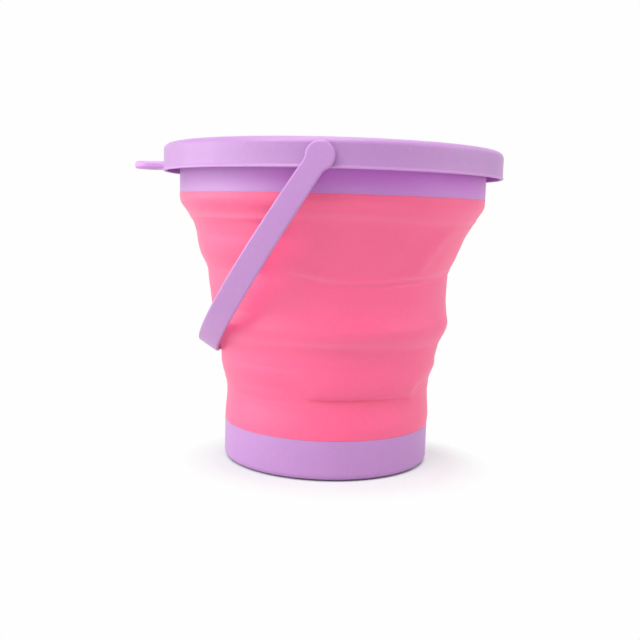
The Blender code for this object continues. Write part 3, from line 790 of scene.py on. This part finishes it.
def wall_course():
    """Outer radius of the wall against height, evenly spaced and softened as a moulded wall is."""
    knots = [
        *band(LOWER_TIER_SHARES, BASE_TOP, LOWER_TIER_TOP, BASE_RADIUS, LOWER_TIER_RADIUS),
        *band(LOWER_FOLD_SHARES, LOWER_TIER_TOP, LOWER_FOLD_TOP, LOWER_TIER_RADIUS, MIDDLE_RADIUS),
        *band(MIDDLE_TIER_SHARES, LOWER_FOLD_TOP, MIDDLE_TIER_TOP, MIDDLE_RADIUS, COLLAR_RADIUS),
        *band(UPPER_FOLD_SHARES, MIDDLE_TIER_TOP, UPPER_FOLD_TOP, MIDDLE_RADIUS, COLLAR_RADIUS),
        *band(UPPER_TIER_SHARES, UPPER_FOLD_TOP, COLLAR_BOTTOM, MIDDLE_RADIUS, COLLAR_RADIUS),
    ]
    heights = np.arange(BASE_TOP - COURSE_MARGIN, COLLAR_BOTTOM + COURSE_MARGIN, COURSE_SPACING)
    course = np.interp(heights, *zip(*knots))
    padded = np.pad(course, SOFTENING_REACH, mode="edge")
    return heights, softened(padded, COURSE_SOFTNESS / COURSE_SPACING)


def crease_path(knots):
    """A height that runs softly round the wall: the bearings in whole degrees, and the height at each."""
    bearings = np.arange(-180, 181)
    values = np.interp(bearings, *zip(*knots))
    before = values[-SOFTENING_REACH - 1:-1]
    after = values[1:SOFTENING_REACH + 1]
    return bearings, softened(np.concatenate([before, values, after]), KNOT_SOFTNESS) * MM


COURSE = wall_course()
CREASE_PATH = crease_path(CREASE_KNOTS)
LIP_PATH = crease_path(LIP_KNOTS)


def crease_height(bearing):
    """Where the light crease runs."""
    return CREASE_LEVEL + np.interp(bearing, *CREASE_PATH)


def lip_height(bearing):
    """Where the lip's edge runs."""
    return LIP_LEVEL + np.interp(bearing, *LIP_PATH)


def along_course(bearing, height):
    """The plain course, with its two creases moved up or down to where they run."""
    crease_rise = np.interp(bearing, *CREASE_PATH)
    lip_rise = np.interp(bearing, *LIP_PATH) - LIP_OVER_COURSE
    level = height - crease_rise * bump(height, CREASE_LEVEL, CREASE_PULL)
    level = level - lip_rise * bump(height, LIP_LEVEL, LIP_PULL)
    return np.interp(level, *COURSE)


def crease_line(bearing, height):
    """The thin bead along the upper fold's lower edge, with a fine groove under it."""
    line = crease_height(bearing)
    along = between(bearing, BEAD_START, BEAD_END, BEAD_RIGHT_SHARE)
    strength = BEAD_LEFT_SHARE + (1 - BEAD_LEFT_SHARE) * along
    bead = BEAD * bump(height, line, BEAD_WIDTH)
    groove = GROOVE * bump(height, line - GROOVE_DROP, GROOVE_WIDTH)
    return strength * (bead - groove)


def fold_dent(bearing, height):
    """The hollow that folding has left in the upper fold, between two soft ridges."""
    left = np.interp(height, DENT_LEVELS, DENT_LEFT)
    right = np.interp(height, DENT_LEVELS, DENT_RIGHT)
    line = crease_height(bearing)
    up = between(height, (line, line + DENT_FOOT), DENT_HEAD)
    across = rise(bearing - left, *DENT_LEFT_SLOPE) * (1 - rise(bearing - right, *DENT_RIGHT_SLOPE))
    ridges = bump(bearing, left - DENT_RIDGE_ASIDE, DENT_RIDGE_WIDTH)
    ridges = ridges + bump(bearing, right + DENT_RIDGE_ASIDE, DENT_RIDGE_WIDTH)
    return up * (DENT_RIDGE * ridges - DENT * across)


def fold_rings(bearing, height):
    """Soft rings that run right round, under the upper tier and under the middle one."""
    upper_level = UPPER_RING_LEVEL + UPPER_RING_TILT * np.sin(np.radians(bearing))
    upper = UPPER_RING * bump(height, upper_level, UPPER_RING_WIDTH)
    lower = LOWER_RING * bump(height, LOWER_RING_LEVEL, LOWER_RING_WIDTH)
    lower = lower * (1 - bump(bearing, *LOWER_RING_GAP))
    return facing(bearing, RING_BACK_SHARE) * (upper + lower)


def fold_highlight_share(bearing, height):
    """Painted highlights: how far the rubber is made paler along the crease and on the two rings, where
    light catches the folds, from 0 to 1.
    """
    along = between(bearing, PALE_START, PALE_END, PALE_RIGHT_SHARE)
    strength = PALE_CREASE_SHARE - PALE_GAP_SHARE * bump(bearing, *PALE_GAP)
    level = crease_height(bearing) + PALE_CREASE_RAISE
    crease = along * strength * bump(height, level, PALE_CREASE_WIDTH)
    upper = PALE_UPPER_SHARE * bump(height, PALE_UPPER_LEVEL, PALE_UPPER_WIDTH)
    lower = PALE_LOWER_SHARE * bump(height, PALE_LOWER_LEVEL, PALE_LOWER_WIDTH)
    return np.clip(crease + facing(bearing, PALE_BACK_SHARE) * (upper + lower), 0.0, 1.0)


def lip(bearing, height):
    """The lower fold's edge at the front: how far it moves the wall out, and how far up."""
    line = lip_height(bearing)
    window = between(bearing, LIP_START, LIP_END)
    above = 1 - rise(height, line, line + LIP_FADE)
    below = 1 - rise(line - height, 0.0, LIP_UNDERCUT)
    edge = LIP * window * np.where(height >= line, above, below)
    pocket = window * bump(height, line - POCKET_DROP, POCKET_WIDTH)
    side = between(bearing, SIDE_BEAD_START, SIDE_BEAD_END)
    side_bead = SIDE_BEAD * side * bump(height, line, SIDE_BEAD_WIDTH)
    dimple = bump(bearing, DIMPLE_BEARING, DIMPLE_SPREAD) * bump(height, DIMPLE_LEVEL, DIMPLE_WIDTH)
    return edge - POCKET * pocket + side_bead - DIMPLE * dimple, POCKET_TUCK * pocket


def lower_hollow(bearing, height):
    """The lowest tier is pressed in a little under the lip."""
    across = between(bearing, HOLLOW_START, HOLLOW_END)
    return -HOLLOW * across * between(height, HOLLOW_FOOT, HOLLOW_HEAD)


def bail_seat(bearing, height):
    """The soft wall gives a little where the swung bail comes to rest on it, opposite the tab."""
    inner_reach = BAIL_REACH - BAIL_THICKNESS / 2
    drop = inner_reach * math.cos(BAIL_TURN) + BAIL_HALF_WIDTH * math.sin(BAIL_TURN)
    across = bump(bearing, math.degrees(-FRONT), BAIL_SEAT_SPREAD)
    return -BAIL_SEAT * across * bump(height, PIVOT.z - drop, BAIL_SEAT_WIDTH)


def slack(angle, height):
    """How the wall leans and swells, and its slight bulge on the right."""
    leftward = np.cos(angle - LEFT)
    levels, leans, swells = np.array(SLACK).T * MM
    bulge = BULGE * bump(height, BULGE_LEVEL, BULGE_WIDTH) * np.maximum(0, -leftward)
    return np.interp(height, levels, leans) * leftward + np.interp(height, levels, swells) + bulge


def wall_grid(heights, angles, fine=True):
    """Radius, height and painted highlight share of the wall's outer face, or of the plain shape behind
    it.
    """
    height, angle = np.meshgrid(heights, angles, indexing="ij")
    bearing = np.degrees((angle - FRONT + math.pi) % math.tau - math.pi)
    radius = along_course(bearing, height) + slack(angle, height)
    radius = radius + fold_dent(bearing, height) + lower_hollow(bearing, height)
    radius = radius + bail_seat(bearing, height)
    pale = fold_highlight_share(bearing, height)
    if fine:
        out, up = lip(bearing, height)
        radius = radius + crease_line(bearing, height) + fold_rings(bearing, height) + out
        height = height + up
    return radius, height, pale


def wall_thickness(height):
    """The wall's thickness, which is less in the two folds than in the tiers."""
    share = 0.0
    for low, high in ((LOWER_TIER_TOP, LOWER_FOLD_TOP), (MIDDLE_TIER_TOP, UPPER_FOLD_TOP)):
        share = share + between(height, (low, low + WEB_THINNING), (high - WEB_THINNING, high))
    return TIER_WALL + (FOLD_WALL - TIER_WALL) * share


def row_heights(low, high, step, fine_step):
    """Levels of the wall's rows, closer together where a crease runs."""
    heights = [low]
    while heights[-1] < high:
        here = heights[-1]
        fine = any(start <= here <= end for start, end in FINE_BANDS)
        heights.append(here + (fine_step if fine else step))
    heights[-1] = high
    return np.array(heights)


def bellows(name, low, high, end_rings):
    """A closed shell of the folding wall between two levels, with its tongue's rings at one end."""
    angles = np.arange(TURN_STEPS) * math.tau / TURN_STEPS
    outer_rows = row_heights(low, high, OUTER_STEP, OUTER_FINE_STEP)
    inner_rows = row_heights(low, high, INNER_STEP, INNER_FINE_STEP)
    radius, height, pale = wall_grid(outer_rows, angles)
    inner_radius, inner_height, _ = wall_grid(inner_rows, angles, fine=False)
    inner_radius = inner_radius - wall_thickness(inner_height)
    ends = np.array(end_rings)
    end_radius = np.repeat(ends[:, :1], TURN_STEPS, axis=1)
    end_height = np.repeat(ends[:, 1:], TURN_STEPS, axis=1)
    if end_rings[0][1] < (low + high) / 2:
        outer, inner = slice(None, None, -1), slice(None)
    else:
        outer, inner = slice(None), slice(None, None, -1)
    radius = np.concatenate([radius[outer], end_radius, inner_radius[inner]])
    height = np.concatenate([height[outer], end_height, inner_height[inner]])
    pale = np.concatenate([pale[outer], np.zeros_like(end_radius), np.zeros_like(inner_radius)])
    points = np.stack([radius * np.cos(angles), radius * np.sin(angles), height], axis=2)
    faces = woven_faces(len(points), TURN_STEPS, True)
    piece = new_piece(name, points.reshape(-1, 3), faces, WALL_CRISP_ANGLE)
    # The painted highlights ride on the wall's points as an attribute
    painted_highlight = piece.data.attributes.new("painted_highlight", "FLOAT", "POINT")
    painted_highlight.data.foreach_set("value", pale.reshape(-1))
    return piece


def lower_bellows():
    """The wall from the base to the middle tier, with the tongue that laps into the base's lip."""
    tongue = BASE_RADIUS - (BASE_WALL + SEAT_GAP) / 2
    inner = BASE_RADIUS - BASE_WALL
    low = BASE_TOP + HAIRLINE
    rings = [(tongue, low), (tongue, TONGUE_BOTTOM), (inner, TONGUE_BOTTOM), (inner, low)]
    return bellows("bellows_lower", low, WALL_SEAM, rings)


def upper_bellows():
    """The wall from the middle tier to the rim, with the tongue that laps into the collar."""
    tongue = COLLAR_RADIUS - (TIER_WALL + SEAT_GAP) / 2
    inner = COLLAR_INNER_RADIUS
    high = COLLAR_BOTTOM - HAIRLINE
    rings = [(tongue, high), (tongue, TONGUE_TOP), (inner, TONGUE_TOP), (inner, high)]
    return bellows("bellows_upper", WALL_SEAM, high, rings)


# Materials

class Nodes:
    """Short calls for building the nodes of a material or a world."""

    def __init__(self, owner):
        owner.use_nodes = True
        self.tree = owner.node_tree
        self.tree.nodes.clear()

    def add(self, kind, inputs, **settings):
        """A node with its settings, and its inputs joined to other nodes or set to plain values."""
        node = self.tree.nodes.new(kind)
        for key, value in settings.items():
            setattr(node, key, value)
        for key, value in inputs.items():
            if isinstance(value, bpy.types.NodeSocket):
                self.tree.links.new(value, node.inputs[key])
            else:
                node.inputs[key].default_value = value
        return node

    def place(self):
        """Each point's place in the object's own space."""
        return self.add("ShaderNodeTexCoord", {}).outputs["Object"]

    def axis(self, letter):
        """Each point's place along one axis."""
        return self.add("ShaderNodeSeparateXYZ", {"Vector": self.place()}).outputs[letter]

    def noise(self, scale, detail=2.0, roughness=0.5):
        """A soft noise, mostly between the ends of NOISE_SPAN."""
        inputs = {"Vector": self.place(), "Scale": scale, "Detail": detail, "Roughness": roughness}
        return self.add("ShaderNodeTexNoise", inputs).outputs["Fac"]

    def ranged(self, value, low, high, span=NOISE_SPAN):
        """The value carried over from a span to what lies between low and high."""
        inputs = {"Value": value, "From Min": span[0], "From Max": span[1], "To Min": low, "To Max": high}
        return self.add("ShaderNodeMapRange", inputs).outputs["Result"]

    def pair(self, operation, first, second):
        """One operation of arithmetic on two values."""
        return self.add("ShaderNodeMath", {0: first, 1: second}, operation=operation).outputs[0]

    def length(self, vector):
        """A vector's length."""
        return self.add("ShaderNodeVectorMath", {0: vector}, operation="LENGTH").outputs["Value"]

    def mixed(self, share, first, second):
        """A mix of two colours."""
        inputs = {"Factor": share, 6: first, 7: second}
        return self.add("ShaderNodeMix", inputs, data_type="RGBA").outputs[2]

    def mixed_shader(self, share, first, second):
        """A mix of two shaders."""
        return self.add("ShaderNodeMixShader", {0: share, 1: first, 2: second}).outputs[0]


def rgba(tone):
    """A tone as a solid colour."""
    return (*tone, 1.0)


def moulded_material(name, main, deep, pale, roughness, specular, sheen, grain, shades):
    """Moulded plastic or rubber: drifting tone, fine flecks, a satin surface and a fine grain.

    The grain is its strength, depth and scale. Each shade is a function that paints light or shade onto
    part of the colour.
    """
    material = bpy.data.materials.new(name)
    nodes = Nodes(material)
    drift = nodes.ranged(nodes.noise(DRIFT_SCALE, detail=3.0), 0.0, 1.0)
    flecks = nodes.ranged(nodes.noise(FLECK_SCALE), 0.0, FLECK_SHARE, FLECK_SPAN)
    colour = nodes.mixed(drift, rgba(main), rgba(deep))
    colour = nodes.mixed(flecks, colour, rgba(pale))
    for shade in shades:
        colour = shade(nodes, colour)
    strength, depth, scale = grain
    height = nodes.noise(scale, detail=3.0, roughness=0.6)
    satin = nodes.noise(SATIN_SCALE, detail=4.0, roughness=0.6)
    bumps = {"Strength": strength, "Distance": depth, "Height": height}
    surface = {
        "Base Color": colour,
        "Roughness": nodes.ranged(satin, *roughness),
        "Normal": nodes.add("ShaderNodeBump", bumps).outputs["Normal"],
        "Specular IOR Level": specular,
        "Sheen Weight": sheen,
        "Sheen Roughness": SHEEN_ROUGHNESS,
    }
    shader = nodes.add("ShaderNodeBsdfPrincipled", surface).outputs["BSDF"]
    nodes.add("ShaderNodeOutputMaterial", {"Surface": shader})
    return material


def axis_distance(nodes):
    """How far a point is from the bucket's axis."""
    flat = nodes.add("ShaderNodeCombineXYZ", {"X": nodes.axis("X"), "Y": nodes.axis("Y")})
    return nodes.length(flat.outputs["Vector"])


def collar_painted_shade(nodes, colour):
    """Painted shade: the collar's outer face and the channel are redder, and deeper high up and on the
    left, for the skirt's shadow and the light bounced under it.
    """
    reach = axis_distance(nodes)
    outside = nodes.ranged(reach, 0.0, 1.0, COLLAR_FACE_SPAN)
    inside = nodes.ranged(reach, 1.0, 0.0, SKIRT_INSIDE_SPAN)
    under = nodes.ranged(nodes.axis("Z"), 1.0, 0.0, DECK_SPAN)
    channel = nodes.pair("MULTIPLY", nodes.pair("MULTIPLY", outside, inside), under)
    across = nodes.ranged(nodes.axis("X"), 0.0, 1.0, COLLAR_CHANGE_ACROSS)
    up = nodes.ranged(nodes.axis("Z"), 0.0, 1.0, COLLAR_CHANGE_UP)
    low = nodes.mixed(across, rgba(COLLAR_PAINTED_SHADE_LOW_LEFT), rgba(COLLAR_PAINTED_SHADE_LOW_RIGHT))
    high = nodes.mixed(across, rgba(COLLAR_PAINTED_SHADE_HIGH_LEFT), rgba(COLLAR_PAINTED_SHADE_HIGH_RIGHT))
    return nodes.mixed(channel, colour, nodes.mixed(up, low, high))


def skirt_edge_painted_highlight(nodes, colour):
    """Painted highlight: the skirt's rounded lower edge is paler outside, where it catches light."""
    outer_span = [RIM_RADIUS - share * SKIRT_EDGE_FILLET for share in SKIRT_EDGE_IN_SHARES]
    level_span = [SKIRT_BOTTOM + share * SKIRT_EDGE_FILLET for share in SKIRT_EDGE_UP_SHARES]
    outside = nodes.ranged(axis_distance(nodes), 0.0, 1.0, outer_span)
    low = nodes.ranged(nodes.axis("Z"), 1.0, 0.0, level_span)
    return nodes.mixed(nodes.pair("MULTIPLY", outside, low), colour, rgba(SKIRT_EDGE_HIGHLIGHT))


def fold_painted_highlight(nodes, colour):
    """Painted highlights: the rubber is paler along its folds, where they catch light."""
    painted_highlight = nodes.add("ShaderNodeAttribute", {}, attribute_name="painted_highlight").outputs["Fac"]
    return nodes.mixed(painted_highlight, colour, rgba(HIGHLIGHT_PINK))


def lavender_plastic(name, painted_lighting, shades=()):
    """The lavender plastic, made lighter or darker on each moulding by its factor of painted light and
    shade.
    """
    return moulded_material(
        name,
        main=[painted_lighting * value for value in (0.515, 0.255, 0.588)],
        deep=[painted_lighting * value for value in (0.492, 0.238, 0.568)],
        pale=[painted_lighting * value for value in (0.555, 0.298, 0.628)],
        roughness=(0.42, 0.52),
        specular=0.85,
        sheen=0.07,
        grain=(0.25, 0.12 * MM, 1500.0),
        shades=shades,
    )


def pink_rubber():
    """The soft pink rubber of the folding wall."""
    return moulded_material(
        "pink_soft_rubber",
        main=(0.950, 0.104, 0.266),
        deep=(0.940, 0.096, 0.252),
        pale=(0.945, 0.132, 0.298),
        roughness=(0.44, 0.54),
        specular=0.9,
        sheen=0.10,
        grain=(0.3, 0.15 * MM, 1100.0),
        shades=(fold_painted_highlight,),
    )


# Setting

def seen_directly(nodes):
    """1 for what the camera sees directly, in a gloss or through a clear piece, and 0 for other light."""
    rays = nodes.add("ShaderNodeLightPath", {}).outputs
    either = nodes.pair("MAXIMUM", rays["Is Camera Ray"], rays["Is Glossy Ray"])
    return nodes.pair("MAXIMUM", either, rays["Is Transmission Ray"])


def floor_material():
    """Pale floor that shows as white and keeps the bucket's soft shadow, which fades with distance."""
    material = bpy.data.materials.new("studio_floor")
    nodes = Nodes(material)
    bounce = nodes.add("ShaderNodeBsdfDiffuse", {"Color": rgba((FLOOR_BOUNCE,) * 3)}).outputs[0]
    shade = nodes.add("ShaderNodeBsdfDiffuse", {"Color": rgba(FLOOR_SHADE)}).outputs[0]
    glow = nodes.add("ShaderNodeEmission", {"Color": rgba((SHOWN_WHITE,) * 3)}).outputs[0]
    circle = {
        "Vector": nodes.place(),
        "Location": (-SHADOW_ASIDE * SHADOW_SQUEEZE, SHADOW_NEARER, 0.0),
        "Scale": (SHADOW_SQUEEZE, 1.0, 1.0),
    }
    squeezed = nodes.add("ShaderNodeMapping", circle).outputs["Vector"]
    far = nodes.ranged(nodes.length(squeezed), SHADOW_THIN, 1.0, SHADOW_FADE)
    clear = nodes.ranged(nodes.length(nodes.place()), 0.0, 1.0, FOOT_SHADE_FADE)
    shown = nodes.mixed_shader(nodes.pair("MULTIPLY", far, clear), shade, glow)
    surface = nodes.mixed_shader(seen_directly(nodes), bounce, shown)
    nodes.add("ShaderNodeOutputMaterial", {"Surface": surface})
    return material


def studio_floor():
    """A wide floor at the bucket's foot."""
    half = FLOOR_HALF
    corners = [(-half, -half, 0.0), (half, -half, 0.0), (half, half, 0.0), (-half, half, 0.0)]
    mesh = bpy.data.meshes.new("studio_floor")
    mesh.from_pydata(corners, [], [(0, 1, 2, 3)])
    mesh.materials.append(floor_material())
    floor = scene_object("studio_floor", mesh)


def studio_world():
    """Soft light from all round, which shows as white."""
    world = bpy.data.worlds.new("studio_world")
    bpy.context.scene.world = world
    nodes = Nodes(world)
    light = {"Color": rgba(PLAIN_LIGHT), "Strength": WORLD_LIGHT}
    shown = {"Color": rgba((SHOWN_WHITE,) * 3), "Strength": 1.0}
    ambient = nodes.add("ShaderNodeBackground", light).outputs[0]
    backdrop = nodes.add("ShaderNodeBackground", shown).outputs[0]
    surface = nodes.mixed_shader(seen_directly(nodes), ambient, backdrop)
    nodes.add("ShaderNodeOutputWorld", {"Surface": surface})


def softbox(name, place, size, power, colour):
    """A square lamp that faces the bucket, placed by how the camera sees it: right, away and up."""
    lamp = bpy.data.lights.new(name, "AREA")
    lamp.shape = "SQUARE"
    lamp.size = size
    lamp.energy = power
    lamp.color = colour
    target = Vector((0.0, 0.0, RIM_TOP / 2))
    thing = scene_object(name, lamp)
    thing.location = Matrix.Rotation(CAMERA_TURN, 4, "Z") @ Vector(place) + target
    thing.rotation_euler = (target - thing.location).to_track_quat("-Z", "Y").to_euler()


def studio_camera():
    """The photograph's view of the bucket."""
    camera = bpy.data.cameras.new("camera")
    camera.lens = CAMERA_LENS
    camera.sensor_width = CAMERA_SENSOR
    camera.sensor_height = CAMERA_SENSOR
    camera.sensor_fit = "HORIZONTAL"
    camera.clip_start = CAMERA_NEAR
    thing = scene_object("camera", camera)
    level = Vector((math.cos(CAMERA_TURN), math.sin(CAMERA_TURN), 0.0))
    heading = Vector((-math.sin(CAMERA_TURN), math.cos(CAMERA_TURN), 0.0))
    forward = heading * math.cos(CAMERA_TIP) - Vector((0.0, 0.0, 1.0)) * math.sin(CAMERA_TIP)
    above = level.cross(forward)
    right = level * math.cos(CAMERA_ROLL) + above * math.sin(CAMERA_ROLL)
    up = above * math.cos(CAMERA_ROLL) - level * math.sin(CAMERA_ROLL)
    turn = Matrix((right, up, -forward)).transposed().to_4x4()
    thing.matrix_world = Matrix.Translation(CAMERA_PLACE) @ turn
    bpy.context.scene.camera = thing


# The pieces, what the rigid ones ride on, and the solids that they stand for, which are hidden

pink = pink_rubber()

# Each lavender moulding takes its own factor of painted light or shade
rim = rim_moulding()
rim_shades = (collar_painted_shade, skirt_edge_painted_highlight)
rim.data.materials.append(lavender_plastic("lavender_rim", RIM_PAINTED_LIGHTING, rim_shades))
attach(rim, "top")
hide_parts("rim_frame")

tab = hanging_tab()
tab.data.materials.append(lavender_plastic("lavender_tab", TAB_PAINTED_LIGHTING))
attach(tab, "top")

bail = bail_strap()
bail.data.materials.append(lavender_plastic("lavender_bail", BAIL_PAINTED_LIGHTING))
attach(bail, "bail")
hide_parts("handle")

base = base_moulding()
base.data.materials.append(lavender_plastic("lavender_base", BASE_PAINTED_LIGHTING))
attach(base, "base")
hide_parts("base_cup")

lower = lower_bellows()
lower.data.materials.append(pink)
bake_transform(lower)
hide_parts("lower_wall", "lower_fold")

upper = upper_bellows()
upper.data.materials.append(pink)
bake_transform(upper)
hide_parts("middle_wall", "upper_fold", "upper_wall")

studio_floor()
studio_world()
studio_camera()
for lamp in LAMPS:
    softbox(*lamp)
bpy.context.scene.view_settings.view_transform = "Standard"
